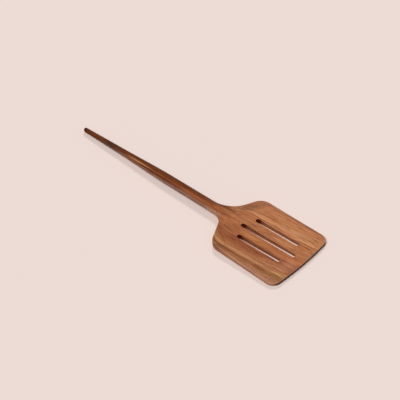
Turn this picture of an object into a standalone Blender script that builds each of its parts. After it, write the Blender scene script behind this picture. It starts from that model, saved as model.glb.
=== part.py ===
"""A slotted wooden spatula, carved from one board of acacia.

The slim rounded handle swells towards the neck and flattens into a thin four-cornered blade. Three slots of
one width are cut through the blade, leaning a little off the handle's line. +X runs from the handle's tip to
the blade's front edge and +Z is up. The spatula lies on its flat underside at z = 0, with the origin below the
middle of its length.
"""

import math

import bpy
import bmesh
from mathutils import Vector

# Lengths, in metres: tip to neck corner, neck corner to front edge, neck corner to shoulder corner
HANDLE_LENGTH = 0.2148
BLADE_LENGTH = 0.1152
SHOULDER_DEPTH = 0.0182

# Handle widths and thicknesses: at the tip, where it starts to swell, where it is fullest, at the neck
TIP_WIDTH = 0.0049
TIP_THICKNESS = 0.0054
SLIM_AT = 0.060
SLIM_WIDTH = 0.0073
SLIM_THICKNESS = 0.0078
SWELL_AT = 0.130
SWELL_WIDTH = 0.0123
SWELL_THICKNESS = 0.0094
NECK_WIDTH = 0.0126
NECK_THICKNESS = 0.0104
NECK_PEAK_BACK = 0.010

# Blade: widths between the sharp corners that its fillets round off, and thicknesses
SHOULDER_WIDTH = 0.0910
FRONT_WIDTH = 0.0970
FRONT_BULGE = 0.0029
SHOULDER_THICKNESS = 0.0074
FRONT_THICKNESS = 0.0038

# Fillets of the outline: the neck is carved out deeper on the right, where its corner is tighter
LEFT_NECK_FILLET = 0.0315
RIGHT_NECK_FILLET = 0.0189
SHOULDER_FILLET = 0.0160
CORNER_FILLET = 0.0112

# Rounding of the rim, and the stretch over which the round handle turns into the flat blade
BLADE_ROUNDING = 0.0013
HANDLE_ROUND_SHARE = 0.92
THICKNESS_ROUND_SHARE = 0.46
FLATTEN_START_BACK = 0.019
FLATTEN_LENGTH = 0.040

# Slots: round-ended with eased edges, their centres on one line across the blade, each turned about its own
SLOT_WIDTH = 0.0051
SLOT_PITCH = 0.0162
SLOT_ROW_TO_LEFT = 0.0006
SLOT_ROW_TO_FRONT = 0.0516
SLOT_LEAN = math.radians(2.3)
MIDDLE_SLOT_LENGTH = 0.0757
OUTER_SLOT_LENGTH = 0.0601
SLOT_EASE = 0.0005
CUTTER_OVERSHOOT = 0.002

# Facets
RIM_STEPS = 4
HANDLE_STEPS = 20
SIDE_STEPS = 4
TIP_STEPS = 4
NECK_STEPS = 8
SHOULDER_STEPS = 8
CORNER_STEPS = 6
FRONT_STEPS = 6
SLOT_END_STEPS = 6
SMOOTH_ANGLE = math.radians(35)

# Finish
ACACIA_BROWN = (0.392, 0.150, 0.065, 1.0)
OILED_ROUGHNESS = 0.42

LENGTH = HANDLE_LENGTH + BLADE_LENGTH
SHOULDER_AT = HANDLE_LENGTH + SHOULDER_DEPTH

WIDTHS = (
    (TIP_WIDTH / 2, TIP_WIDTH),
    (SLIM_AT, SLIM_WIDTH),
    (SWELL_AT, SWELL_WIDTH),
    (HANDLE_LENGTH, NECK_WIDTH),
)
THICKNESSES = (
    (0.0, TIP_THICKNESS),
    (SLIM_AT, SLIM_THICKNESS),
    (SWELL_AT, SWELL_THICKNESS),
    (HANDLE_LENGTH - NECK_PEAK_BACK, NECK_THICKNESS),
    (SHOULDER_AT, SHOULDER_THICKNESS),
    (LENGTH, FRONT_THICKNESS),
)


def clear_scene():
    for obj in list(bpy.data.objects):
        bpy.data.objects.remove(obj, do_unlink=True)


def new_collection(name):
    collection = bpy.data.collections.new(name)
    bpy.context.scene.collection.children.link(collection)
    return collection


def oiled_acacia():
    material = bpy.data.materials.new("oiled_acacia")
    material.use_nodes = True
    shader = material.node_tree.nodes["Principled BSDF"]
    shader.inputs["Base Color"].default_value = ACACIA_BROWN
    shader.inputs["Roughness"].default_value = OILED_ROUGHNESS
    shader.inputs["Metallic"].default_value = 0.0
    material.diffuse_color = ACACIA_BROWN
    return material


def smoothstep(value):
    share = min(max(value, 0.0), 1.0)
    return share * share * (3 - 2 * share)


def blend(start, end, share):
    return start + (end - start) * share


def fair_slopes(stations):
    """The slope at each station of a curve that never overshoots: none at a peak, the harmonic mean elsewhere."""
    runs = [(v1 - v0) / (x1 - x0) for (x0, v0), (x1, v1) in zip(stations, stations[1:])]
    slopes = [runs[0]]
    for before, after in zip(runs, runs[1:]):
        slopes.append(2 * before * after / (before + after) if before * after > 0 else 0.0)
    return slopes + [runs[-1]]


def faired(stations, x):
    """The value at x of a smooth curve through (x, value) stations, level beyond both of its ends."""
    x = min(max(x, stations[0][0]), stations[-1][0])
    slopes = fair_slopes(stations)
    span = next(i for i in range(len(stations) - 1) if x <= stations[i + 1][0])
    (x0, v0), (x1, v1) = stations[span], stations[span + 1]
    step = x1 - x0
    t = (x - x0) / step
    rise = t * t * (3 - 2 * t)
    leave = t * (1 - t) * (1 - t) * step * slopes[span]
    arrive = t * t * (t - 1) * step * slopes[span + 1]
    return blend(v0, v1, rise) + leave + arrive


def handle_half_width(x):
    return faired(WIDTHS, x) / 2


def thickness(x):
    return faired(THICKNESSES, x)


def arc(centre, radius, start, sweep, steps):
    """Points from the angle start through sweep, both ends included."""
    angles = [start + sweep * i / steps for i in range(steps + 1)]
    return [centre + radius * Vector((math.cos(a), math.sin(a))) for a in angles]


def fillet(before, corner, after, radius, steps):
    """The arc that rounds the corner between the runs from before and to after."""
    back = (before - corner).normalized()
    on = (after - corner).normalized()
    half_angle = back.angle(on) / 2
    centre = corner + (back + on).normalized() * radius / math.sin(half_angle)
    first = corner + back * radius / math.tan(half_angle) - centre
    last = corner + on * radius / math.tan(half_angle) - centre
    sweep = last.angle_signed(first)
    return arc(centre, radius, math.atan2(first.y, first.x), sweep, steps)


def front_edge_circle():
    """The centre and radius of the wide arc that the front edge follows."""
    half = FRONT_WIDTH / 2
    radius = (half * half + FRONT_BULGE * FRONT_BULGE) / (2 * FRONT_BULGE)
    return Vector((LENGTH - radius, 0.0)), radius


def half_outline(neck_fillet):
    """One side of the spatula seen from above, from the tip to the middle of the front edge."""
    tip_radius = TIP_WIDTH / 2
    tip = arc(Vector((tip_radius, 0.0)), tip_radius, math.pi, -math.pi / 2, TIP_STEPS)

    neck = Vector((HANDLE_LENGTH, NECK_WIDTH / 2))
    shoulder = Vector((SHOULDER_AT, SHOULDER_WIDTH / 2))
    corner = Vector((LENGTH - FRONT_BULGE, FRONT_WIDTH / 2))
    along_handle = Vector((SWELL_AT, NECK_WIDTH / 2))
    neck_arc = fillet(along_handle, neck, shoulder, neck_fillet, NECK_STEPS)
    shoulder_arc = fillet(neck, shoulder, corner, SHOULDER_FILLET, SHOULDER_STEPS)

    centre, radius = front_edge_circle()
    across = (corner - centre).normalized()
    inwards = corner + Vector((across.y, -across.x)) * CORNER_FILLET * 2
    corner_arc = fillet(shoulder, corner, inwards, CORNER_FILLET, CORNER_STEPS)

    end = neck_arc[0].x
    handle = []
    for i in range(1, HANDLE_STEPS):
        x = blend(tip_radius, end, i / HANDLE_STEPS)
        handle.append(Vector((x, handle_half_width(x))))
    side = [shoulder_arc[-1].lerp(corner_arc[0], i / SIDE_STEPS) for i in range(1, SIDE_STEPS)]
    start_angle = math.asin(corner_arc[-1].y / radius)
    front = arc(centre, radius, start_angle, -start_angle, FRONT_STEPS)[1:]
    return tip + handle + neck_arc + shoulder_arc + side + corner_arc + front


def closed(left, right):
    """The whole loop of two half outlines, both drawn on the left, that share ends on the middle line."""
    return left + [Vector((p.x, -p.y)) for p in reversed(right[1:-1])]


def outward(loop):
    """The outward direction at each point of a loop that runs clockwise seen from above."""
    directions = []
    for i, point in enumerate(loop):
        along = loop[(i + 1) % len(loop)] - loop[i - 1]
        directions.append(Vector((-along.y, along.x)).normalized())
    return directions


def rounding(x):
    """How far in and how far down the rim is rounded: fully on the handle, lightly on the blade."""
    flat = smoothstep((x - HANDLE_LENGTH + FLATTEN_START_BACK) / FLATTEN_LENGTH)
    inset = blend(HANDLE_ROUND_SHARE * handle_half_width(x), BLADE_ROUNDING, flat)
    drop = blend(THICKNESS_ROUND_SHARE * thickness(x), BLADE_ROUNDING, flat)
    return inset, min(drop, THICKNESS_ROUND_SHARE * thickness(x))


def rim_rings(loop):
    """Rings of 3D points round the spatula, from the edge of its underside up to the edge of its top."""
    directions = outward(loop)
    angles = [math.pi / 2 * i / RIM_STEPS for i in range(RIM_STEPS + 1)]
    rings = []
    for angle in reversed(angles):
        ring = []
        for point, direction in zip(loop, directions):
            inset, drop = rounding(point.x)
            place = point - direction * inset * (1 - math.cos(angle))
            ring.append(Vector((place.x, place.y, drop * (1 - math.sin(angle)))))
        rings.append(ring)
    for angle in angles:
        ring = []
        for point, direction in zip(loop, directions):
            inset, drop = rounding(point.x)
            place = point - direction * inset * (1 - math.cos(angle))
            top = thickness(place.x)
            ring.append(Vector((place.x, place.y, top - drop * (1 - math.sin(angle)))))
        rings.append(ring)
    return rings


def cap(bm, ring):
    """Closes a ring that has as many points on each side of the middle line with strips that run across it."""
    count = len(ring)
    middle = count // 2
    bm.faces.new((ring[0], ring[1], ring[-1]))
    for i in range(1, middle - 1):
        bm.faces.new((ring[i], ring[i + 1], ring[count - i - 1], ring[count - i]))
    bm.faces.new((ring[middle - 1], ring[middle], ring[middle + 1]))


def loft(name, rings):
    """A closed mesh through rings that have as many points each."""
    bm = bmesh.new()
    rows = [[bm.verts.new(point) for point in ring] for ring in rings]
    for lower, upper in zip(rows, rows[1:]):
        for i in range(len(lower)):
            bm.faces.new((lower[i - 1], lower[i], upper[i], upper[i - 1]))
    cap(bm, rows[0])
    cap(bm, rows[-1])
    bmesh.ops.recalc_face_normals(bm, faces=bm.faces)
    mesh = bpy.data.meshes.new(name)
    bm.to_mesh(mesh)
    bm.free()
    return mesh


def slot_loop(length, grow):
    """The round-ended outline of a slot about its own centre, grown by a margin."""
    radius = SLOT_WIDTH / 2
    reach = length / 2 - radius
    neck_end = arc(Vector((-reach, 0.0)), radius + grow, math.pi, -math.pi / 2, SLOT_END_STEPS)
    front_end = arc(Vector((reach, 0.0)), radius + grow, math.pi / 2, -math.pi / 2, SLOT_END_STEPS)
    half = neck_end + front_end
    return closed(half, half)


def slot_cutter(name, length):
    """A cutter through the blade whose sides lean out where it meets each face, which eases the slot's edges."""
    wall = slot_loop(length, 0.0)
    mouth = slot_loop(length, SLOT_EASE + CUTTER_OVERSHOOT)
    centre = LENGTH - SLOT_ROW_TO_FRONT
    levels = (
        (mouth, lambda x: -CUTTER_OVERSHOOT),
        (wall, lambda x: SLOT_EASE),
        (wall, lambda x: thickness(x) - SLOT_EASE),
        (mouth, lambda x: thickness(x) + CUTTER_OVERSHOOT),
    )
    rings = []
    for loop, height in levels:
        rings.append([Vector((p.x, p.y, height(centre + w.x))) for p, w in zip(loop, wall)])
    return loft(name, rings)


def place(name, mesh, collection, x, y):
    obj = bpy.data.objects.new(name, mesh)
    obj.location = Vector((x - LENGTH / 2, y, 0.0))
    collection.objects.link(obj)
    return obj


def make_spatula(collection):
    outline = closed(half_outline(LEFT_NECK_FILLET), half_outline(RIGHT_NECK_FILLET))
    mesh = loft("spatula", rim_rings(outline))
    mesh.materials.append(oiled_acacia())
    return place("spatula", mesh, collection, 0.0, 0.0)


def cut_slots(spatula, collection):
    middle = slot_cutter("middle_slot", MIDDLE_SLOT_LENGTH)
    outer = slot_cutter("outer_slot", OUTER_SLOT_LENGTH)
    centre = LENGTH - SLOT_ROW_TO_FRONT
    cutters = (
        place("slot_left", outer, collection, centre, SLOT_ROW_TO_LEFT + SLOT_PITCH),
        place("slot_middle", middle, collection, centre, SLOT_ROW_TO_LEFT),
        place("slot_right", outer, collection, centre, SLOT_ROW_TO_LEFT - SLOT_PITCH),
    )
    for cutter in cutters:
        cutter.rotation_euler.z = SLOT_LEAN
        cutter.hide_render = True
        cutter.display_type = "WIRE"
        cut = spatula.modifiers.new(cutter.name, "BOOLEAN")
        cut.operation = "DIFFERENCE"
        cut.solver = "EXACT"
        cut.object = cutter


def main():
    clear_scene()
    parts = new_collection("slotted_spatula")
    cutters = new_collection("cutters")
    spatula = make_spatula(parts)
    spatula.data.shade_smooth()
    spatula.data.set_sharp_from_angle(angle=SMOOTH_ANGLE)
    cut_slots(spatula, cutters)


main()
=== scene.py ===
"""A slotted wooden spatula in oiled acacia, on a pale floor under soft light.

The spatula is carved from one board, so it is one piece. Its outline and thickness are faired through a few
measured stations, its rim is rounded, and three slots are cut through its blade. Sizes are in metres in the
part's own frame: +X from the handle's tip to the blade's front edge, +Z up, the origin on the surface that
the spatula lies on. The board's figure is laid out in millimetres from the handle's tip.
"""

import math

import bmesh
import bpy
from bpy.props import FloatProperty, FloatVectorProperty, PointerProperty
from bpy.types import Operator, Panel, PropertyGroup
from mathutils import Matrix, Vector


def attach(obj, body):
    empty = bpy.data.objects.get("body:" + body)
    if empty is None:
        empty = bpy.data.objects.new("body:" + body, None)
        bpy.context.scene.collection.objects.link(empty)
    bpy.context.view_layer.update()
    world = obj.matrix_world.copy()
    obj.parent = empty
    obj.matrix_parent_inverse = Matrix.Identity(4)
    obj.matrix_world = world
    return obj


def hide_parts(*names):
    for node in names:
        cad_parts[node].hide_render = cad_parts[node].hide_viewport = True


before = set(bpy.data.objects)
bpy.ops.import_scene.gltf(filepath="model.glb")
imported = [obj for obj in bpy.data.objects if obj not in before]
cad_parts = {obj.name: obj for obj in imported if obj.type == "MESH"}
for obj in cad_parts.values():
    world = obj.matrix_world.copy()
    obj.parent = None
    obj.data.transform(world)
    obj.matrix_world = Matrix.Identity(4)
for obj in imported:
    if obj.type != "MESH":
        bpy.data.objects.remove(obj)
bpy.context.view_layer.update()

bl_info = {
    "name": "Slotted wooden spatula",
    "version": (1, 0, 0),
    "blender": (4, 5, 0),
    "location": "3D View > Sidebar > Spatula",
    "description": "Carves a slotted spatula from an acacia board and stages it",
    "category": "Add Mesh",
}

# Steps of the carved surface, fine enough that no facet shows
TIP_STEPS = 10
HANDLE_STEPS = 72
NECK_STEPS = 28
SHOULDER_STEPS = 20
SIDE_STEPS = 24
CORNER_STEPS = 16
FRONT_STEPS = 20
RIM_STEPS = 8
CROSS_STEPS = 24
SLOT_END_STEPS = 50
EASE_STEPS = 5

# How far the rim's rounding reaches on the handle, as shares of its half width and of its thickness, and
# where the handle's round section turns into the blade's flat one
HANDLE_ROUND_SHARE = 0.92
THICKNESS_ROUND_SHARE = 0.46
FLATTEN_START_BACK = 0.019
FLATTEN_LENGTH = 0.040

# Edges that bend more than this show as edges, and the wide faces count this much in the shading of the rest
SHARP_ANGLE = math.radians(32)
WIDE_FACE_WEIGHT = 100

# The slots' cutters: how far they reach past the board's faces and flare there, as shares of the ease, the
# angle at which the ease leaves a face, where the rays that look for the faces start and how long they are,
# and how much of a wall an eased face counts as
CUTTER_REACH_SHARE = 2.0
CUTTER_FLARE_SHARE = 0.2
EASE_START_ANGLE = math.radians(14)
RAY_START = 0.05
RAY_LENGTH = 0.2
EASED_WALL_SHARE = 0.3


def srgb(code):
    """A hex colour as linear red, green, blue and alpha."""
    channels = [int(code[i:i + 2], 16) / 255 for i in (1, 3, 5)]
    linear = [c / 12.92 if c <= 0.04045 else ((c + 0.055) / 1.055) ** 2.4 for c in channels]
    return (*linear, 1.0)


def feed(tree, node, inputs):
    """Gives a node its inputs. Each takes a value, or a socket to link from, or a node, which stands for the
    first of its outputs that is in use."""
    for name, value in inputs.items():
        if isinstance(value, bpy.types.Node):
            value = next(socket for socket in value.outputs if socket.enabled)
        if isinstance(value, bpy.types.NodeSocket):
            tree.links.new(value, node.inputs[name])
        else:
            node.inputs[name].default_value = value


def add(tree, kind, inputs=None, stops=(), items=(), **settings):
    """A new node with its settings and inputs. A ramp takes its stops, and a capture the items it holds."""
    node = tree.nodes.new(kind)
    for name, value in settings.items():
        setattr(node, name, value)
    for number, (place, colour) in enumerate(stops):
        marks = node.color_ramp.elements
        mark = marks[number] if number < len(marks) else marks.new(place)
        mark.position = place
        mark.color = srgb(colour)
    for item_type, name in items:
        node.capture_items.new(item_type, name)
    feed(tree, node, inputs or {})
    return node


def metres(name, description, default):
    """A length that can be set."""
    return FloatProperty(name=name, description=description, default=default, unit="LENGTH")


def degrees(name, description, default):
    """An angle that can be set."""
    return FloatProperty(name=name, description=description, default=math.radians(default), subtype="ANGLE",
                         unit="ROTATION")


class SpatulaSizes(PropertyGroup):
    """The carved board's own sizes"""

    handle_length: metres("Handle length", "From the tip to the corner of the neck", 0.2148)
    blade_length: metres("Blade length", "From the corner of the neck to the front edge", 0.1152)
    shoulder_depth: metres("Shoulder depth", "From the neck's corner to the shoulder's corner", 0.0182)
    tip_width: metres("Tip width", "Across the handle's tip", 0.0049)
    tip_thickness: metres("Tip thickness", "Through the handle's tip", 0.0054)
    slim_at: metres("Slim station", "Where the handle starts to swell", 0.060)
    slim_width: metres("Slim width", "Across the handle where it starts to swell", 0.0073)
    slim_thickness: metres("Slim thickness", "Through the handle where it starts to swell", 0.0078)
    swell_at: metres("Swell station", "Where the handle is fullest", 0.130)
    swell_width: metres("Swell width", "Across the handle where it is fullest", 0.0123)
    swell_thickness: metres("Swell thickness", "Through the handle where it is fullest", 0.0094)
    neck_width: metres("Neck width", "Across the handle where it meets the blade", 0.0126)
    neck_thickness: metres("Neck thickness", "Through the thickest place, behind the blade", 0.0104)
    neck_peak_back: metres("Neck peak", "How far behind the neck's corner the board is thickest", 0.010)
    shoulder_width: metres("Shoulder width", "Across the blade between its shoulder corners", 0.0910)
    front_width: metres("Front width", "Across the blade between its front corners", 0.0970)
    front_bulge: metres("Front bulge", "How far the front edge curves out", 0.0029)
    shoulder_thickness: metres("Shoulder thickness", "Through the blade at its shoulders", 0.0074)
    front_thickness: metres("Front thickness", "Through the blade at its front edge", 0.0038)
    left_neck_fillet: metres("Left neck fillet", "Radius between handle and blade on the left", 0.0315)
    right_neck_fillet: metres("Right neck fillet", "Radius between handle and blade on the right", 0.0189)
    shoulder_fillet: metres("Shoulder fillet", "Radius of the blade's shoulders", 0.0160)
    corner_fillet: metres("Corner fillet", "Radius of the blade's front corners", 0.0112)
    blade_rounding: metres("Blade rounding", "Radius of the blade's sanded rim", 0.0013)


class SlotSizes(PropertyGroup):
    """The three draining slots"""

    width: metres("Width", "Across each slot", 0.0051)
    pitch: metres("Pitch", "From one slot's middle to the next", 0.0162)
    row_to_left: metres("Row offset", "How far the row sits to the blade's left", 0.0006)
    row_to_front: metres("Row to front", "From the slots' middles to the front edge", 0.0516)
    lean: degrees("Lean", "How far each slot turns off the handle's line", 2.3)
    middle_length: metres("Middle length", "Of the middle slot", 0.0757)
    outer_length: metres("Outer length", "Of the outer slots", 0.0601)
    ease: metres("Ease", "Radius of the slots' sanded edges on top", 0.0005)
    lower_ease: metres("Lower ease", "Radius of the slots' edges on the underside", 0.0001)


class StageLook(PropertyGroup):
    """The floor, the light and the camera"""

    floor_colour: FloatVectorProperty(name="Floor colour", description="Of the pale paper under the spatula",
                                      default=srgb("#ecdbd4")[:3], subtype="COLOR", size=3, min=0.0, max=1.0)
    overhead_light: FloatProperty(name="Overhead light", description="Strength of the wide soft light above",
                                  default=2.18)
    back_light: FloatProperty(name="Back light", description="Strength of the lower light from behind",
                              default=1.18)
    room_light: FloatProperty(name="Room light", description="Strength of the light from all round",
                              default=0.19)
    camera_azimuth: degrees("Camera azimuth", "Round the spatula, from its right side", 41.359)
    camera_height: degrees("Camera elevation", "Above the floor", 45.139)
    camera_roll: degrees("Camera roll", "Round its own line of sight", 0.261)
    camera_distance: metres("Camera distance", "From the middle of the spatula", 3.4029)
    camera_lens: FloatProperty(name="Lens", description="Focal length in millimetres", default=270.0)
    aside: metres("Aside", "How far the spatula's middle lies left of the picture's", 0.00962)
    above: metres("Above", "How far the spatula's middle lies above the picture's", 0.00367)


def smoothstep(value):
    share = min(max(value, 0.0), 1.0)
    return share * share * (3 - 2 * share)


def blend(start, end, share):
    return start + (end - start) * share


def fair_slopes(stations):
    """The slope at each station of a curve that never overshoots: none at a peak, else the harmonic mean."""
    runs = [(v1 - v0) / (x1 - x0) for (x0, v0), (x1, v1) in zip(stations, stations[1:])]
    slopes = [runs[0]]
    for before, after in zip(runs, runs[1:]):
        slopes.append(2 * before * after / (before + after) if before * after > 0 else 0.0)
    return slopes + [runs[-1]]


def faired(stations, x):
    """The value at x of a smooth curve through (x, value) stations, level beyond both of its ends."""
    x = min(max(x, stations[0][0]), stations[-1][0])
    slopes = fair_slopes(stations)
    span = next(i for i in range(len(stations) - 1) if x <= stations[i + 1][0])
    (x0, v0), (x1, v1) = stations[span], stations[span + 1]
    step = x1 - x0
    t = (x - x0) / step
    rise = t * t * (3 - 2 * t)
    leave = t * (1 - t) * (1 - t) * step * slopes[span]
    arrive = t * t * (t - 1) * step * slopes[span + 1]
    return blend(v0, v1, rise) + leave + arrive


def arc(centre, radius, start, sweep, steps):
    """Points from the angle start through sweep, both ends included."""
    angles = [start + sweep * i / steps for i in range(steps + 1)]
    return [centre + radius * Vector((math.cos(a), math.sin(a))) for a in angles]


def fillet(before, corner, after, radius, steps):
    """The arc that rounds the corner between the runs from before and to after."""
    back = (before - corner).normalized()
    on = (after - corner).normalized()
    half_angle = back.angle(on) / 2
    centre = corner + (back + on).normalized() * radius / math.sin(half_angle)
    first = corner + back * radius / math.tan(half_angle) - centre
    last = corner + on * radius / math.tan(half_angle) - centre
    sweep = last.angle_signed(first)
    return arc(centre, radius, math.atan2(first.y, first.x), sweep, steps)


class Carving:
    """The board's outline and thickness, worked out from its sizes. Its x runs from the handle's tip."""

    def __init__(self, sizes):
        self.sizes = sizes
        self.length = sizes.handle_length + sizes.blade_length
        self.shoulder_at = sizes.handle_length + sizes.shoulder_depth
        self.widths = (
            (sizes.tip_width / 2, sizes.tip_width),
            (sizes.slim_at, sizes.slim_width),
            (sizes.swell_at, sizes.swell_width),
            (sizes.handle_length, sizes.neck_width),
        )
        self.thicknesses = (
            (0.0, sizes.tip_thickness),
            (sizes.slim_at, sizes.slim_thickness),
            (sizes.swell_at, sizes.swell_thickness),
            (sizes.handle_length - sizes.neck_peak_back, sizes.neck_thickness),
            (self.shoulder_at, sizes.shoulder_thickness),
            (self.length, sizes.front_thickness),
        )

    def thickness(self, x):
        return faired(self.thicknesses, x)

    def handle_half_width(self, x):
        return faired(self.widths, x) / 2

    def half_outline(self, neck_fillet):
        """One side seen from above, from the tip to the middle of the front edge."""
        s = self.sizes
        tip_radius = s.tip_width / 2
        tip = arc(Vector((tip_radius, 0.0)), tip_radius, math.pi, -math.pi / 2, TIP_STEPS)

        neck = Vector((s.handle_length, s.neck_width / 2))
        shoulder = Vector((self.shoulder_at, s.shoulder_width / 2))
        corner = Vector((self.length - s.front_bulge, s.front_width / 2))
        along_handle = Vector((s.swell_at, s.neck_width / 2))
        neck_arc = fillet(along_handle, neck, shoulder, neck_fillet, NECK_STEPS)
        shoulder_arc = fillet(neck, shoulder, corner, s.shoulder_fillet, SHOULDER_STEPS)

        half = s.front_width / 2
        radius = (half * half + s.front_bulge * s.front_bulge) / (2 * s.front_bulge)
        centre = Vector((self.length - radius, 0.0))
        across = (corner - centre).normalized()
        inwards = corner + Vector((across.y, -across.x)) * s.corner_fillet * 2
        corner_arc = fillet(shoulder, corner, inwards, s.corner_fillet, CORNER_STEPS)

        end = neck_arc[0].x
        handle = []
        for i in range(1, HANDLE_STEPS):
            x = blend(tip_radius, end, i / HANDLE_STEPS)
            handle.append(Vector((x, self.handle_half_width(x))))
        side = [shoulder_arc[-1].lerp(corner_arc[0], i / SIDE_STEPS) for i in range(1, SIDE_STEPS)]
        start_angle = math.asin(corner_arc[-1].y / radius)
        front = arc(centre, radius, start_angle, -start_angle, FRONT_STEPS)[1:]
        return tip + handle + neck_arc + shoulder_arc + side + corner_arc + front

    def rounding(self, x):
        """How far in and how far down the rim is rounded: fully on the handle, lightly on the blade."""
        flat = smoothstep((x - self.sizes.handle_length + FLATTEN_START_BACK) / FLATTEN_LENGTH)
        inset = blend(HANDLE_ROUND_SHARE * self.handle_half_width(x), self.sizes.blade_rounding, flat)
        drop = blend(THICKNESS_ROUND_SHARE * self.thickness(x), self.sizes.blade_rounding, flat)
        return inset, min(drop, THICKNESS_ROUND_SHARE * self.thickness(x))

    def rings(self):
        """Rings of points round the spatula, from the edge of its underside up to the edge of its top."""
        left = self.half_outline(self.sizes.left_neck_fillet)
        right = self.half_outline(self.sizes.right_neck_fillet)
        loop = left + [Vector((p.x, -p.y)) for p in reversed(right[1:-1])]
        directions = []
        for i in range(len(loop)):
            along = loop[(i + 1) % len(loop)] - loop[i - 1]
            directions.append(Vector((-along.y, along.x)).normalized())
        quarter = [math.pi / 2 * i / RIM_STEPS for i in range(RIM_STEPS + 1)]
        rings = []
        for angle, on_top in [(a, False) for a in reversed(quarter)] + [(a, True) for a in quarter]:
            ring = []
            for point, direction in zip(loop, directions):
                inset, drop = self.rounding(point.x)
                place = point - direction * inset * (1 - math.cos(angle))
                fall = drop * (1 - math.sin(angle))
                height = self.thickness(place.x) - fall if on_top else fall
                ring.append(Vector((place.x - self.length / 2, place.y, height)))
            rings.append(ring)
        return rings


def close_face(bm, row):
    """Closes a ring that has as many points on each side of the middle line with a grid of faces."""
    count = len(row)
    middle = count // 2
    lines = []
    for i in range(1, middle):
        start, end = row[i], row[count - i]
        inner = [bm.verts.new(start.co.lerp(end.co, j / CROSS_STEPS)) for j in range(1, CROSS_STEPS)]
        lines.append([start, *inner, end])
    for first, second in zip(lines, lines[1:]):
        for j in range(CROSS_STEPS):
            bm.faces.new((first[j], first[j + 1], second[j + 1], second[j]))
    for apex, line in ((row[0], lines[0]), (row[middle], lines[-1])):
        for j in range(CROSS_STEPS):
            bm.faces.new((apex, line[j], line[j + 1]))


def carved_board(sizes):
    """The board's outside as a closed mesh, before its slots are cut."""
    rings = Carving(sizes).rings()
    bm = bmesh.new()
    rows = [[bm.verts.new(point) for point in ring] for ring in rings]
    for lower, upper in zip(rows, rows[1:]):
        for i in range(len(lower)):
            bm.faces.new((lower[i - 1], lower[i], upper[i], upper[i - 1]))
    close_face(bm, rows[0])
    close_face(bm, rows[-1])
    bmesh.ops.recalc_face_normals(bm, faces=bm.faces)
    mesh = bpy.data.meshes.new("spatula_board")
    bm.to_mesh(mesh)
    bm.free()
    return mesh


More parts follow.
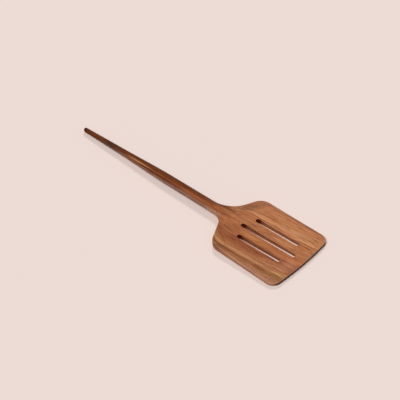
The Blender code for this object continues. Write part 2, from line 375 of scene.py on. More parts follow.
def slot_tree():
    """A node tree that cuts three round-ended slots with eased edges through a board."""
    tree = bpy.data.node_groups.new("draining_slots", "GeometryNodeTree")
    face = tree.interface
    face.new_socket(name="Board", in_out="INPUT", socket_type="NodeSocketGeometry")
    for name in ("Width", "Pitch", "Row X", "Row Y", "Lean", "Middle length", "Outer length", "Ease",
                 "Lower ease"):
        face.new_socket(name=name, in_out="INPUT", socket_type="NodeSocketFloat")
    face.new_socket(name="Wood", in_out="INPUT", socket_type="NodeSocketMaterial")
    face.new_socket(name="Board", in_out="OUTPUT", socket_type="NodeSocketGeometry")
    given = add(tree, "NodeGroupInput").outputs

    # One point for each slot, holding its middle and how far its straight part reaches
    first_y = add(tree, "ShaderNodeMath", {0: given["Row Y"], 1: given["Pitch"]}, operation="SUBTRACT")
    start = add(tree, "ShaderNodeCombineXYZ", {"X": given["Row X"], "Y": first_y})
    step = add(tree, "ShaderNodeCombineXYZ", {"Y": given["Pitch"]})
    points = add(tree, "GeometryNodeMeshLine", {"Count": 3, "Start Location": start, "Offset": step})
    index = add(tree, "GeometryNodeInputIndex")
    in_middle = add(tree, "FunctionNodeCompare", {"A": index, "B": 1}, data_type="INT", operation="EQUAL")
    length = add(tree, "GeometryNodeSwitch",
                 {"Switch": in_middle, "False": given["Outer length"], "True": given["Middle length"]},
                 input_type="FLOAT")
    straight = add(tree, "ShaderNodeMath", {0: length, 1: given["Width"]}, operation="SUBTRACT")
    reach = add(tree, "ShaderNodeMath", {0: straight, 1: 0.5}, operation="MULTIPLY")
    position = add(tree, "GeometryNodeInputPosition")
    centres = add(tree, "GeometryNodeCaptureAttribute", {0: points, "Centre": position, "Reach": reach},
                  items=(("VECTOR", "Centre"), ("FLOAT", "Reach")))

    # The cutter starts as a plain drum, whose rings become the levels of the slot's wall
    levels = 2 * (EASE_STEPS + 2) - 1
    drum = add(tree, "GeometryNodeMeshCylinder",
               {"Vertices": SLOT_END_STEPS, "Side Segments": levels, "Radius": 1.0, "Depth": 1.0})
    profile = add(tree, "GeometryNodeCaptureAttribute", {0: drum, "Place": position},
                  items=(("VECTOR", "Place"),))
    cutters = add(tree, "GeometryNodeInstanceOnPoints", {"Points": centres, "Instance": profile})
    cutters = add(tree, "GeometryNodeRealizeInstances", {0: cutters})

    # How far each level lies from the nearer face, and how far the ease opens it there
    place = add(tree, "ShaderNodeSeparateXYZ", {0: profile.outputs["Place"]})
    upward = add(tree, "ShaderNodeMath", {0: place.outputs["Z"]}, operation="SIGN")
    from_middle = add(tree, "ShaderNodeMath", {0: place.outputs["Z"]}, operation="ABSOLUTE")
    level = add(tree, "ShaderNodeMapRange",
                {"Value": from_middle, "From Min": 0.5, "From Max": 0.0, "To Max": levels / 2})
    turned = add(tree, "ShaderNodeMapRange",
                 {"Value": level, "From Min": 1.0, "From Max": 1.0 + EASE_STEPS, "To Min": EASE_START_ANGLE,
                  "To Max": math.pi / 2})
    sine = add(tree, "ShaderNodeMath", {0: turned}, operation="SINE")
    cosine = add(tree, "ShaderNodeMath", {0: turned}, operation="COSINE")
    outside = add(tree, "ShaderNodeMath", {0: level, 1: 0.5}, operation="LESS_THAN")
    ease = add(tree, "ShaderNodeMapRange",
               {"Value": upward, "From Min": -1.0, "To Min": given["Lower ease"], "To Max": given["Ease"]})
    open_share = add(tree, "ShaderNodeMath", {0: 1.0, 1: sine}, operation="SUBTRACT")
    open_share = add(tree, "ShaderNodeMath", {0: outside, 1: CUTTER_FLARE_SHARE, 2: open_share},
                     operation="MULTIPLY_ADD")
    growth = add(tree, "ShaderNodeMath", {0: open_share, 1: ease}, operation="MULTIPLY")
    depth_share = add(tree, "ShaderNodeMath", {0: 1.0, 1: cosine}, operation="SUBTRACT")
    depth_share = add(tree, "ShaderNodeMath", {0: outside, 1: -CUTTER_REACH_SHARE, 2: depth_share},
                      operation="MULTIPLY_ADD")
    depth = add(tree, "ShaderNodeMath", {0: depth_share, 1: ease}, operation="MULTIPLY")

    # The drum's outline, drawn out into the slot's, turned about its middle
    radius = add(tree, "ShaderNodeMath", {0: given["Width"], 1: 0.5}, operation="MULTIPLY")
    opened = add(tree, "ShaderNodeMath", {0: radius, 1: growth}, operation="ADD")
    side = add(tree, "ShaderNodeMath", {0: place.outputs["X"]}, operation="SIGN")
    shift = add(tree, "ShaderNodeMath", {0: side, 1: centres.outputs["Reach"]}, operation="MULTIPLY")
    shift = add(tree, "ShaderNodeCombineXYZ", {"X": shift})
    flat = add(tree, "ShaderNodeCombineXYZ", {"X": place.outputs["X"], "Y": place.outputs["Y"]})
    outlines = []
    for half_width in (radius, opened):
        drawn = add(tree, "ShaderNodeVectorMath", {0: flat, "Scale": half_width}, operation="SCALE")
        drawn = add(tree, "ShaderNodeVectorMath", {0: drawn, 1: shift}, operation="ADD")
        drawn = add(tree, "ShaderNodeVectorRotate", {"Vector": drawn, "Angle": given["Lean"]},
                    rotation_type="Z_AXIS")
        outlines.append(add(tree, "ShaderNodeVectorMath", {0: drawn, 1: centres.outputs["Centre"]},
                            operation="ADD"))
    wall, mouth = outlines

    # A ray from above or below finds the face that each level is measured from
    above = add(tree, "ShaderNodeMath", {0: upward, 1: RAY_START}, operation="MULTIPLY")
    above = add(tree, "ShaderNodeCombineXYZ", {"Z": above})
    source = add(tree, "ShaderNodeVectorMath", {0: wall, 1: above}, operation="ADD")
    down = add(tree, "ShaderNodeVectorMath", {0: above, "Scale": -1.0}, operation="SCALE")
    ray = add(tree, "GeometryNodeRaycast",
              {"Target Geometry": given["Board"], "Source Position": source, "Ray Direction": down,
               "Ray Length": RAY_LENGTH})
    hit = add(tree, "ShaderNodeSeparateXYZ", {0: ray.outputs["Hit Position"]})
    lowered = add(tree, "ShaderNodeMath", {0: upward, 1: depth}, operation="MULTIPLY")
    height = add(tree, "ShaderNodeMath", {0: hit.outputs["Z"], 1: lowered}, operation="SUBTRACT")
    across = add(tree, "ShaderNodeSeparateXYZ", {0: mouth})
    settled = add(tree, "ShaderNodeCombineXYZ",
                  {"X": across.outputs["X"], "Y": across.outputs["Y"], "Z": height})
    cutters = add(tree, "GeometryNodeSetPosition", {0: cutters, "Position": settled})

    # Marks for the painted shade in the slots: where the neck end lies, and the faces that the cutters leave,
    # the eased ones faintly
    middle = add(tree, "ShaderNodeSeparateXYZ", {0: centres.outputs["Centre"]})
    neck_end = add(tree, "ShaderNodeMath", {0: middle.outputs["X"], 1: centres.outputs["Reach"]},
                   operation="SUBTRACT")
    wall_mark = add(tree, "ShaderNodeMapRange",
                    {"Value": level, "From Min": EASE_STEPS, "From Max": EASE_STEPS + 1,
                     "To Min": EASED_WALL_SHARE})
    for name, mark in (("slot_neck_end", neck_end), ("slot_wall", wall_mark)):
        cutters = add(tree, "GeometryNodeStoreNamedAttribute", {0: cutters, "Name": name, "Value": mark},
                      data_type="FLOAT", domain="FACE")

    cut = add(tree, "GeometryNodeMeshBoolean", {"Mesh 1": given["Board"], "Mesh 2": cutters},
              operation="DIFFERENCE", solver="EXACT")
    made = add(tree, "GeometryNodeRealizeInstances", {0: cut})
    made = add(tree, "GeometryNodeSetMaterial", {0: made, "Material": given["Wood"]})
    add(tree, "NodeGroupOutput", {"Board": made})
    return tree


def apply_modifiers(obj):
    """Leaves obj with the plain mesh that its modifiers make."""
    shown = obj.evaluated_get(bpy.context.evaluated_depsgraph_get())
    mesh = bpy.data.meshes.new_from_object(shown)
    obj.modifiers.clear()
    obj.data = mesh


def split_long_faces(mesh):
    """Splits the faces of more than four corners that the cut leaves into even triangles."""
    bm = bmesh.new()
    bm.from_mesh(mesh)
    many_cornered = [face for face in bm.faces if len(face.verts) > 4]
    bmesh.ops.triangulate(bm, faces=many_cornered, ngon_method="BEAUTY")
    bm.to_mesh(mesh)
    bm.free()


def cut_slots(obj, slots, length, wood):
    """Cuts the draining slots through obj."""
    tree = slot_tree()
    values = {
        "Width": slots.width,
        "Pitch": slots.pitch,
        "Row X": length / 2 - slots.row_to_front,
        "Row Y": slots.row_to_left,
        "Lean": slots.lean,
        "Middle length": slots.middle_length,
        "Outer length": slots.outer_length,
        "Ease": slots.ease,
        "Lower ease": slots.lower_ease,
        "Wood": wood,
    }
    cutting = obj.modifiers.new("draining_slots", "NODES")
    cutting.node_group = tree
    for socket in tree.interface.items_tree:
        if socket.in_out == "INPUT" and socket.name in values:
            cutting[socket.identifier] = values[socket.name]
    apply_modifiers(obj)
    split_long_faces(obj.data)


def weigh_normals(obj):
    """Keeps the wide faces flat in the light where they meet small rounded ones."""
    obj.data.shade_smooth()
    obj.data.set_sharp_from_angle(angle=SHARP_ANGLE)
    weighted = obj.modifiers.new("weighted", "WEIGHTED_NORMAL")
    weighted.keep_sharp = True
    weighted.weight = WIDE_FACE_WEIGHT
    apply_modifiers(obj)


# The board's figure, in millimetres: how far a bend, a patch of hue, a fibre and a pore run along, across
# and through the board, how far a bend leads the grain astray, and how thick the growth layers are, which
# lie nearly level. Pores are 0.2 mm wide and 1 to 3 mm long, and are drawn twice as wide so that they show
MILLIMETRES = 1000.0
BEND_SIZE = (75.0, 18.0, 18.0)
BEND_REACH = (10.0, 1.8, 1.0)
PATCH_SIZE = (40.0, 6.0, 5.0)
FIBRE_SIZE = (18.0, 1.0, 1.0)
PORE_SIZE = (3.2, 0.4, 0.4)
LAYER_NORMAL = (0.037, 0.17, 0.98)
BROAD_LAYER = 1.1
FINE_LAYER = 0.35

# The bands lie between the board's right and left sides, and their borders wander this far
BANDS_RIGHT = -50.0
BANDS_LEFT = 44.0
BANDS_WANDER = 8.0

# Where the wood changes, in millimetres from the handle's tip: the fibres spread over the neck and drift to
# the left over the blade, the handle's darker wood fades out towards the blade, and the painted highlight on
# the blade's rounded rim sets in
SPREAD_START = 204.0
SPREAD_END = 244.0
SPREAD_SHARE = 1.6
DRIFT_START = 190.0
DRIFT_END = 330.0
DRIFT_REACH = 10.0
DARK_HANDLE_END = 178.0
HANDLE_FADE_END = 232.0
RIM_HIGHLIGHT_START = 246.0
RIM_HIGHLIGHT_FULL = 264.0
RIM_HIGHLIGHT_SHARE = 0.38

# The painted shade in a slot's wall is darkest up to here from its neck end, in metres, and as dark as the
# rest of the wall from there on
DARKEST_TO = 0.001
DARKER_TO = 0.012

# How much of a streak's reach shows it in full
STREAK_CORE_SHARE = 0.15

# Streaks that the eye picks out on the board: name, middle x and y from the handle's tip, lean in degrees,
# length and width in millimetres, colour, and how much of it shows
STREAKS = (
    ("bright streak by the left slot", 305, 24.5, 14, 32, 2.4, "#dfae82", 0.70),
    ("shade under the bright streak", 303, 21.5, 12, 34, 2.2, "#7a4630", 0.45),
    ("shade over the bright streak", 300, 27.5, 10, 34, 2.6, "#8f5c3c", 0.35),
    ("orange streak at the front edge", 320, 14, 10, 22, 2.4, "#d99f74", 0.60),
    ("olive spot in the left corner", 314, 35, 4, 18, 7, "#b8945c", 0.45),
    ("orange patch by the middle slot", 268, -8.5, 2, 28, 6, "#cf8d55", 0.40),
    ("light line below the right slot", 311, -25.5, 11, 38, 1.7, "#e0ab7f", 0.75),
    ("dark line below the light one", 302, -29, 10, 48, 2.2, "#6f4328", 0.50),
    ("olive streak at the front edge", 320, -31, 6, 24, 5, "#c3a266", 0.55),
    ("dark line of the right shoulder", 247, -39.8, 3, 54, 3.4, "#5f3723", 0.62),
    ("orange streak of the right shoulder", 240, -36.2, -4, 30, 2.4, "#dc9560", 0.70),
    ("grey right shoulder", 232, -33, 70, 36, 8, "#7d5845", 0.20),
    ("dark corner of the right shoulder", 243, -43, 20, 26, 6, "#74503c", 0.55),
    ("light streak above the left slot", 294, 30.5, 5, 58, 5, "#deaa80", 0.50),
    ("pale front of the right side", 320, -17, 80, 40, 24, "#c48a6c", 0.55),
    ("grey left shoulder", 231, 26, 55, 54, 18, "#7d563f", 0.60),
    ("light wood behind the left slot", 240, 6.5, 8, 44, 9, "#cb8c62", 0.45),
    ("red wood between the neck and the slots", 239, -10, 25, 34, 15, "#8e543a", 0.50),
    ("light web beside the left slot", 290, 8.5, 3, 76, 5, "#d69a6c", 0.60),
    ("light wood in front of the right slot", 300, -25.5, 8, 44, 13, "#cc8c66", 0.50),
    ("dark line below the olive streak", 320, -34.4, 5, 30, 4.8, "#6b4029", 0.55),
    # Painted shade on the blade's left rim
    ("dark left rim", 302, 46.5, 1, 110, 6, "#8a5a3e", 0.50),
    # Orange wood on the neck's rounded top, with a painted highlight
    ("orange light on the neck", 203, -2, 25, 24, 5, "#b5703a", 0.60),
    ("dark line across the neck", 206, -8, 18, 12, 2, "#5f3823", 0.50),
    ("red patch on the neck", 219, -3, 30, 18, 7, "#8a4832", 0.40),
    ("dark line of the left neck", 216, 10, 44, 30, 2.0, "#74452d", 0.30),
    # Painted shade along the handle's left flank
    ("dark left side of the handle", 125, 5.5, 0.6, 330, 9, "#3a1c0e", 0.80),
    # Reddish wood on the handle's right side, brightened with painted light on that flank
    ("red light right side of the handle", 174, -3.7, 0, 96, 6.6, "#bb7049", 0.50),
    ("orange light middle of the handle", 120, -3, 0, 70, 3, "#9d5f34", 0.45),
    ("light streak on the handle", 88, -2.9, 0.3, 52, 2.6, "#c48f60", 0.85),
    ("dark line over the light streak", 80, 0.2, 0.3, 50, 1.8, "#361b0d", 0.50),
    ("dark patch on the handle", 145, 4, 1, 34, 6, "#341a0e", 0.40),
    ("dark stretch before the tip", 42, -1.5, 0, 44, 8, "#33221a", 0.65),
    # Painted light: the right flank of the handle and the neck made paler, as if lit from that side
    ("pale edge of the handle", 158, -6.6, 0, 230, 3.0, "#e0bca8", 0.29),
    ("pale edge of the swelling handle", 108, -5.9, -2.6, 64, 2.8, "#e0b597", 0.26),
    ("pale edge near the tip", 33, -4.0, -0.7, 54, 2.4, "#dcb7a2", 0.20),
    ("pale edge of the neck", 204, -7.0, -4, 38, 4.4, "#e2b79b", 0.36),
    ("pale edge of the slim handle", 78, -4.7, -2.2, 84, 2.2, "#dcb7a2", 0.22),
    # Painted shade beside the neck's left edge
    ("dark line beside the neck's left edge", 200, 4.2, 6, 40, 6, "#4a2512", 0.60),
    # Dark end grain at the handle's tip, deepened with painted shade
    ("charred tip", 2.2, 0, 0, 6.5, 14, "#1a0c06", 0.95),
)


def grain_streak():
    """A group of nodes that is 1 in the middle of a long soft streak, falls to 0 at its rim, and runs on
    through the board."""
    tree = bpy.data.node_groups.new("grain_streak", "ShaderNodeTree")
    face = tree.interface
    for name in ("Point", "Middle"):
        face.new_socket(name=name, in_out="INPUT", socket_type="NodeSocketVector")
    for name in ("Lean", "Length", "Width"):
        face.new_socket(name=name, in_out="INPUT", socket_type="NodeSocketFloat")
    face.new_socket(name="Mask", in_out="OUTPUT", socket_type="NodeSocketFloat")
    given = add(tree, "NodeGroupInput").outputs
    aside = add(tree, "ShaderNodeVectorMath", {0: given["Point"], 1: given["Middle"]}, operation="SUBTRACT")
    turned = add(tree, "ShaderNodeVectorRotate", {"Vector": aside, "Angle": given["Lean"]},
                 rotation_type="Z_AXIS", invert=True)
    flat = add(tree, "ShaderNodeVectorMath", {0: turned, 1: (2.0, 2.0, 0.0)}, operation="MULTIPLY")
    size = add(tree, "ShaderNodeCombineXYZ", {"X": given["Length"], "Y": given["Width"], "Z": 1.0})
    shares = add(tree, "ShaderNodeVectorMath", {0: flat, 1: size}, operation="DIVIDE")
    reach = add(tree, "ShaderNodeVectorMath", {0: shares}, operation="LENGTH")
    mask = add(tree, "ShaderNodeMapRange", {"Value": reach, "From Min": 1.0, "From Max": STREAK_CORE_SHARE},
               interpolation_type="SMOOTHSTEP")
    add(tree, "NodeGroupOutput", {"Mask": mask})
    return tree


def bent_board(tree, place, length):
    """The board in millimetres from the handle's tip, bent a little, as no tree grows straight."""
    board = add(tree, "ShaderNodeMapping", {
        "Vector": place.outputs["Object"],
        "Location": (length / 2 * MILLIMETRES, 0.0, 0.0),
        "Scale": (MILLIMETRES, MILLIMETRES, MILLIMETRES),
    })
    bend = add(tree, "ShaderNodeVectorMath", {0: board, 1: BEND_SIZE}, operation="DIVIDE")
    bend = add(tree, "ShaderNodeTexNoise", {"Vector": bend, "Scale": 1.0, "Detail": 2.0})
    bend = add(tree, "ShaderNodeVectorMath", {0: bend.outputs["Color"], 1: (0.5, 0.5, 0.5)},
               operation="SUBTRACT")
    bend = add(tree, "ShaderNodeVectorMath", {0: bend, 1: BEND_REACH}, operation="MULTIPLY")
    return add(tree, "ShaderNodeVectorMath", {0: board, 1: bend}, operation="ADD")


def fibre_lines(tree, bent):
    """How far along the board a place is, how far across its fibres, and the place told that way."""
    board = add(tree, "ShaderNodeSeparateXYZ", {0: bent}).outputs
    spread = add(tree, "ShaderNodeMapRange",
                 {"Value": board["X"], "From Min": SPREAD_START, "From Max": SPREAD_END,
                  "To Min": SPREAD_SHARE},
                 interpolation_type="SMOOTHSTEP")
    drift = add(tree, "ShaderNodeMapRange",
                {"Value": board["X"], "From Min": DRIFT_START, "From Max": DRIFT_END, "To Max": DRIFT_REACH})
    across = add(tree, "ShaderNodeMath", {0: board["Y"], 1: spread}, operation="MULTIPLY")
    across = add(tree, "ShaderNodeMath", {0: across, 1: drift}, operation="SUBTRACT")
    grain = add(tree, "ShaderNodeCombineXYZ", {"X": board["X"], "Y": across, "Z": board["Z"]})
    return board["X"], across, grain


def broad_bands(tree, across, grain):
    """Broad bands of tan, orange and red wood from the board's right side to its left, and the slow patches
    that make their borders uneven."""
    patch = add(tree, "ShaderNodeVectorMath", {0: grain, 1: PATCH_SIZE}, operation="DIVIDE")
    patch = add(tree, "ShaderNodeTexNoise", {"Vector": patch, "Scale": 1.0, "Detail": 3.0})
    uneven = add(tree, "ShaderNodeMath", {0: patch, 1: BANDS_WANDER, 2: across}, operation="MULTIPLY_ADD")
    band = add(tree, "ShaderNodeMapRange", {"Value": uneven, "From Min": BANDS_RIGHT, "From Max": BANDS_LEFT})
    colour = add(tree, "ShaderNodeValToRGB", {0: band}, stops=(
        (0.02, "#b08268"), (0.06, "#a06d4c"), (0.095, "#94613f"), (0.12, "#b8845f"), (0.145, "#cc9b72"),
        (0.17, "#bc8258"), (0.20, "#a06442"), (0.25, "#925032"), (0.29, "#945638"), (0.35, "#aa6a48"),
        (0.42, "#c27b4e"), (0.50, "#ba764e"), (0.58, "#c2825a"), (0.64, "#c07e54"), (0.70, "#bc7a52"),
        (0.76, "#dea073"), (0.80, "#d4966b"), (0.83, "#c88a5c"), (0.86, "#c5875d"), (0.90, "#ce8e65"),
        (0.94, "#cc8d64"), (0.98, "#b47a5c")))
    return colour, patch


def growth_layers(tree, colour, grain):
    """The nearly level growth layers, which the carved faces cut into long curved lines."""
    layer = add(tree, "ShaderNodeVectorMath", {0: grain, 1: LAYER_NORMAL}, operation="DOT_PRODUCT")
    broad = add(tree, "ShaderNodeTexNoise", {"W": layer, "Scale": 1 / BROAD_LAYER, "Detail": 2.0},
                noise_dimensions="1D")
    tone = add(tree, "ShaderNodeValToRGB", {0: broad},
               stops=((0.28, "#9a5c3e"), (0.42, "#b37150"), (0.55, "#c08058"), (0.72, "#d29a66")))
    colour = add(tree, "ShaderNodeMix", {"Factor": 0.15, "A": colour, "B": tone}, data_type="RGBA")
    fine = add(tree, "ShaderNodeTexNoise",
               {"W": layer, "Scale": 1 / FINE_LAYER, "Detail": 3.0, "Roughness": 0.65}, noise_dimensions="1D")
    tone = add(tree, "ShaderNodeValToRGB", {0: fine},
               stops=((0.30, "#a98d7c"), (0.46, "#f3ece6"), (0.58, "#ffffff"), (0.72, "#fff1de")))
    return add(tree, "ShaderNodeMix", {"Factor": 0.75, "A": colour, "B": tone}, data_type="RGBA",
               blend_type="MULTIPLY")


def slow_changes(tree, colour, patch, along):
    """The wood's hue wanders along the board between red, brown and tan, and the handle is of darker wood."""
    hue = add(tree, "ShaderNodeValToRGB", {0: patch},
              stops=((0.34, "#98503a"), (0.46, "#b26d49"), (0.56, "#c28755"), (0.68, "#c79a68")))
    colour = add(tree, "ShaderNodeMix", {"Factor": 0.15, "A": colour, "B": hue}, data_type="RGBA")
    handle = add(tree, "ShaderNodeMapRange",
                 {"Value": along, "From Min": HANDLE_FADE_END, "From Max": DARK_HANDLE_END},
                 interpolation_type="SMOOTHSTEP")
    return add(tree, "ShaderNodeMix", {"Factor": handle, "A": colour, "B": srgb("#987c5a")},
               data_type="RGBA", blend_type="MULTIPLY")


def own_streaks(tree, colour, bent):
    """The streaks that have a place of their own, some of them painted light and painted shade."""
    group = grain_streak()
    for name, x, y, lean, length, width, code, share in STREAKS:
        streak = add(tree, "ShaderNodeGroup",
                     {"Point": bent, "Middle": (x, y, 0.0), "Lean": math.radians(lean), "Length": length,
                      "Width": width},
                     node_tree=group, name=name, label=name)
        shown = add(tree, "ShaderNodeMath", {0: streak, 1: share}, operation="MULTIPLY")
        colour = add(tree, "ShaderNodeMix", {"Factor": shown, "A": colour, "B": srgb(code)}, data_type="RGBA")
    return colour


def fibres_and_pores(tree, colour, grain):
    """The wood with its fibres and its dark pores, and both of them by themselves."""
    fibre = add(tree, "ShaderNodeVectorMath", {0: grain, 1: FIBRE_SIZE}, operation="DIVIDE")
    fibre = add(tree, "ShaderNodeTexNoise", {"Vector": fibre, "Scale": 1.0, "Detail": 4.0, "Roughness": 0.7})
    tone = add(tree, "ShaderNodeValToRGB", {0: fibre},
               stops=((0.32, "#83604c"), (0.46, "#e6d9d0"), (0.56, "#ffffff"), (0.68, "#fff3e6")))
    colour = add(tree, "ShaderNodeMix", {"Factor": 0.85, "A": colour, "B": tone}, data_type="RGBA",
                 blend_type="MULTIPLY")
    pore = add(tree, "ShaderNodeVectorMath", {0: grain, 1: PORE_SIZE}, operation="DIVIDE")
    pore = add(tree, "ShaderNodeTexNoise", {"Vector": pore, "Scale": 1.0, "Detail": 1.0})
    pore = add(tree, "ShaderNodeMapRange",
               {"Value": pore, "From Min": 0.62, "From Max": 0.72, "To Max": 0.45})
    colour = add(tree, "ShaderNodeMix", {"Factor": pore, "A": colour, "B": srgb("#5a3222")}, data_type="RGBA")
    return colour, fibre, pore


def rim_highlight_and_end_grain(tree, colour, place, along):
    """A painted highlight makes the blade's rounded rim paler where it faces partly up. End grain drinks more
    oil and turns dark.
    """
    facing = add(tree, "ShaderNodeSeparateXYZ", {0: place.outputs["Normal"]}).outputs
    # Painted highlight: the rounding turns paler, most where it tilts 30 to 45 degrees from level, and the
    # steeper faces a little
    rim = add(tree, "ShaderNodeValToRGB", {0: facing["Z"]},
              stops=((0.30, "#707070"), (0.70, "#ffffff"), (0.86, "#ffffff"), (0.99, "#000000")))
    blade = add(tree, "ShaderNodeMapRange",
                {"Value": along, "From Min": RIM_HIGHLIGHT_START, "From Max": RIM_HIGHLIGHT_FULL, "To Max": RIM_HIGHLIGHT_SHARE})
    rim = add(tree, "ShaderNodeMath", {0: rim, 1: blade}, operation="MULTIPLY")
    colour = add(tree, "ShaderNodeMix", {"Factor": rim, "A": colour, "B": srgb("#dcb599")}, data_type="RGBA")
    endwise = add(tree, "ShaderNodeMath", {0: facing["X"]}, operation="ABSOLUTE")
    end_grain = add(tree, "ShaderNodeMapRange",
                    {"Value": endwise, "From Min": 0.60, "From Max": 0.95, "To Max": 0.9},
                    interpolation_type="SMOOTHSTEP")
    return add(tree, "ShaderNodeMix", {"Factor": end_grain, "A": colour, "B": srgb("#8c7263")},
               data_type="RGBA", blend_type="MULTIPLY")


def painted_slot_shade(tree, colour, place):
    """Painted shade inside the slots: the walls are darker, most of all at the neck ends."""
    wall = add(tree, "ShaderNodeAttribute", attribute_name="slot_wall").outputs["Fac"]
    neck_end = add(tree, "ShaderNodeAttribute", attribute_name="slot_neck_end").outputs["Fac"]
    colour = add(tree, "ShaderNodeMix", {"Factor": wall, "A": colour, "B": srgb("#e8dacb")},
                 data_type="RGBA", blend_type="MULTIPLY")
    from_neck = add(tree, "ShaderNodeSeparateXYZ", {0: place.outputs["Object"]})
    from_neck = add(tree, "ShaderNodeMath", {0: from_neck.outputs["X"], 1: neck_end}, operation="SUBTRACT")
    # Painted shade that deepens to near black at each slot's neck end
    deep = add(tree, "ShaderNodeMapRange",
               {"Value": from_neck, "From Min": DARKER_TO, "From Max": DARKEST_TO})
    deep = add(tree, "ShaderNodeMath", {0: deep, 1: 3.0}, operation="POWER")
    inside = add(tree, "ShaderNodeMath", {0: wall, 1: 0.5}, operation="POWER")
    deep = add(tree, "ShaderNodeMath", {0: deep, 1: inside}, operation="MULTIPLY")
    return add(tree, "ShaderNodeMix", {"Factor": deep, "A": colour, "B": srgb("#5a1a06")}, data_type="RGBA")


def oiled_acacia(length):
    """Acacia sanded smooth and rubbed with oil: warm brown bands, a satin shine and fine dark pores."""
    material = bpy.data.materials.new("oiled_acacia")
    material.use_nodes = True
    material.diffuse_color = srgb("#a86c48")
    tree = material.node_tree
    place = add(tree, "ShaderNodeTexCoord")
    bent = bent_board(tree, place, length)
    along, across, grain = fibre_lines(tree, bent)
    colour, patch = broad_bands(tree, across, grain)
    colour = growth_layers(tree, colour, grain)
    colour = slow_changes(tree, colour, patch, along)
    colour = own_streaks(tree, colour, bent)
    colour, fibre, pore = fibres_and_pores(tree, colour, grain)
    colour = rim_highlight_and_end_grain(tree, colour, place, along)
    colour = painted_slot_shade(tree, colour, place)

    # Oil fills the wood unevenly, so the shine changes along the fibres. It soaks in and leaves no film, so
    # the wood shines less than varnish would
    gloss = add(tree, "ShaderNodeMapRange",
                {"Value": fibre, "From Min": 0.3, "From Max": 0.7, "To Min": 0.56, "To Max": 0.42})
    relief = add(tree, "ShaderNodeMath", {0: fibre, 1: pore}, operation="SUBTRACT")
    bump = add(tree, "ShaderNodeBump", {"Strength": 0.25, "Distance": 0.0001, "Height": relief})
    feed(tree, tree.nodes["Principled BSDF"],
         {"Base Color": colour, "Roughness": gloss, "Normal": bump, "IOR": 1.47, "Specular IOR Level": 0.12})
    return material


class SPATULA_OT_carve(Operator):
    """Carve the spatula from one board, cut its slots and rub it with oil"""

    bl_idname = "spatula.carve"
    bl_label = "Carve spatula"

    def execute(self, context):
        sizes = context.scene.spatula_sizes
        length = sizes.handle_length + sizes.blade_length
        board = carved_board(sizes)
        spatula = bpy.data.objects.new("acacia_spatula", board)
        context.scene.collection.objects.link(spatula)
        cut_slots(spatula, context.scene.spatula_slots, length, oiled_acacia(length))
        weigh_normals(spatula)
        if len(spatula.data.polygons) < len(board.polygons) / 2:
            raise RuntimeError("the slots' cut left too little of the board")
        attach(spatula, "root")
        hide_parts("spatula")
        return {"FINISHED"}


# The floor reaches far past the picture, and lies just below the spatula so that their faces don't meet
FLOOR_REACH = 30.0
FLOOR_DROP = 0.0001

# Each lamp: its name, which its strength goes by too, how wide it looks, how far round from +X and how high
# it stands, in degrees, and whether the wood shines in it. The lower one only deepens the shadow on the
# floor
LAMPS = (
    ("overhead_light", 35, -100, 62, True),
    ("back_light", 10, 131, 33, False),
)


def matte_paper(look):
    """Uncoated pale paper: no shine, one colour, and the object's soft shadow."""
    material = bpy.data.materials.new("matte_paper")
    material.use_nodes = True
    tree = material.node_tree
    tree.nodes.clear()
    lit = add(tree, "ShaderNodeBsdfDiffuse", {"Color": (*look.floor_colour, 1.0)})
    add(tree, "ShaderNodeOutputMaterial", {"Surface": lit})
    return material


def lay_floor(scene, look):
    bm = bmesh.new()
    bmesh.ops.create_grid(bm, x_segments=1, y_segments=1, size=FLOOR_REACH)
    mesh = bpy.data.meshes.new("paper_floor")
    bm.to_mesh(mesh)
    bm.free()
    mesh.materials.append(matte_paper(look))
    floor = bpy.data.objects.new("paper_floor", mesh)
    floor.location.z = -FLOOR_DROP
    scene.collection.objects.link(floor)


def hang_lamps(scene, look):
    for name, spread, azimuth, elevation, shines in LAMPS:
        lamp = bpy.data.lights.new(name, "SUN")
        lamp.energy = getattr(look, name)
        lamp.angle = math.radians(spread)
        sun = bpy.data.objects.new(name, lamp)
        sun.visible_glossy = shines
        turn = math.radians(azimuth)
        tilt = math.radians(elevation)
        towards = Vector((math.cos(turn) * math.cos(tilt), math.sin(turn) * math.cos(tilt), math.sin(tilt)))
        sun.rotation_euler = towards.to_track_quat("Z", "Y").to_euler()
        scene.collection.objects.link(sun)


def pale_room(look):
    """Even light from all round, seen as the floor's own colour."""
    world = bpy.data.worlds.new("pale_room")
    world.use_nodes = True
    tree = world.node_tree
    tree.nodes.clear()
    path = add(tree, "ShaderNodeLightPath").outputs
    seen = path["Is Camera Ray"]
    for other in ("Is Glossy Ray", "Is Transmission Ray"):
        seen = add(tree, "ShaderNodeMath", {0: seen, 1: path[other]}, operation="MAXIMUM")
    room = add(tree, "ShaderNodeBackground", {"Color": (1.0, 1.0, 1.0, 1.0), "Strength": look.room_light})
    pale = add(tree, "ShaderNodeBackground", {"Color": (*look.floor_colour, 1.0), "Strength": 1.0})
    both = add(tree, "ShaderNodeMixShader", {0: seen, 1: room, 2: pale})
    add(tree, "ShaderNodeOutputWorld", {"Surface": both})
    return world


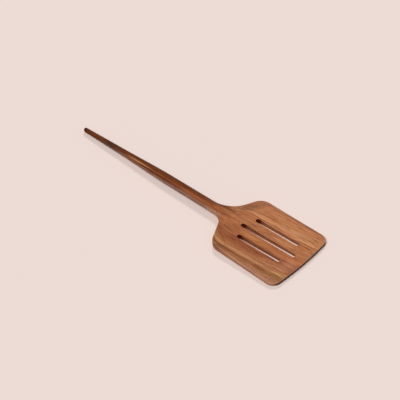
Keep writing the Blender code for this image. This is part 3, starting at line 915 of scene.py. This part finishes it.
def place_camera(scene, look):
    lens = bpy.data.cameras.new("camera")
    lens.lens = look.camera_lens
    camera = bpy.data.objects.new("camera", lens)
    turn = look.camera_azimuth
    tilt = look.camera_height
    roll = look.camera_roll
    back = Vector((math.sin(turn) * math.cos(tilt), -math.cos(turn) * math.cos(tilt), math.sin(tilt)))
    right = Vector((math.cos(turn), math.sin(turn), 0.0))
    up = back.cross(right)
    place = right * look.aside - up * look.above + back * look.camera_distance
    rolled_right = right * math.cos(roll) - up * math.sin(roll)
    rolled_up = right * math.sin(roll) + up * math.cos(roll)
    axes = Matrix((rolled_right, rolled_up, back)).transposed().to_4x4()
    camera.matrix_world = Matrix.Translation(place) @ axes
    scene.collection.objects.link(camera)
    scene.camera = camera


class SPATULA_OT_stage(Operator):
    """Lay the pale floor, set the soft lights and place the camera"""

    bl_idname = "spatula.stage"
    bl_label = "Set the stage"

    def execute(self, context):
        scene = context.scene
        look = scene.spatula_stage
        lay_floor(scene, look)
        hang_lamps(scene, look)
        scene.world = pale_room(look)
        scene.view_settings.view_transform = "Standard"
        place_camera(scene, look)
        return {"FINISHED"}


class VIEW3D_PT_spatula(Panel):
    """Sizes and steps of the spatula"""

    bl_label = "Slotted spatula"
    bl_space_type = "VIEW_3D"
    bl_region_type = "UI"
    bl_category = "Spatula"

    def draw(self, context):
        scene = context.scene
        for group, operator in (
                (scene.spatula_sizes, None),
                (scene.spatula_slots, SPATULA_OT_carve.bl_idname),
                (scene.spatula_stage, SPATULA_OT_stage.bl_idname)):
            column = self.layout.column(align=True)
            for name in group.bl_rna.properties.keys():
                if name not in ("rna_type", "name"):
                    column.prop(group, name)
            if operator:
                self.layout.operator(operator)


CLASSES = (SpatulaSizes, SlotSizes, StageLook, SPATULA_OT_carve, SPATULA_OT_stage, VIEW3D_PT_spatula)


def register():
    for cls in CLASSES:
        bpy.utils.register_class(cls)
    bpy.types.Scene.spatula_sizes = PointerProperty(type=SpatulaSizes)
    bpy.types.Scene.spatula_slots = PointerProperty(type=SlotSizes)
    bpy.types.Scene.spatula_stage = PointerProperty(type=StageLook)


def unregister():
    del bpy.types.Scene.spatula_stage
    del bpy.types.Scene.spatula_slots
    del bpy.types.Scene.spatula_sizes
    for cls in reversed(CLASSES):
        bpy.utils.unregister_class(cls)


def main():
    register()
    bpy.ops.spatula.carve()
    bpy.ops.spatula.stage()


if __name__ == "__main__":
    main()
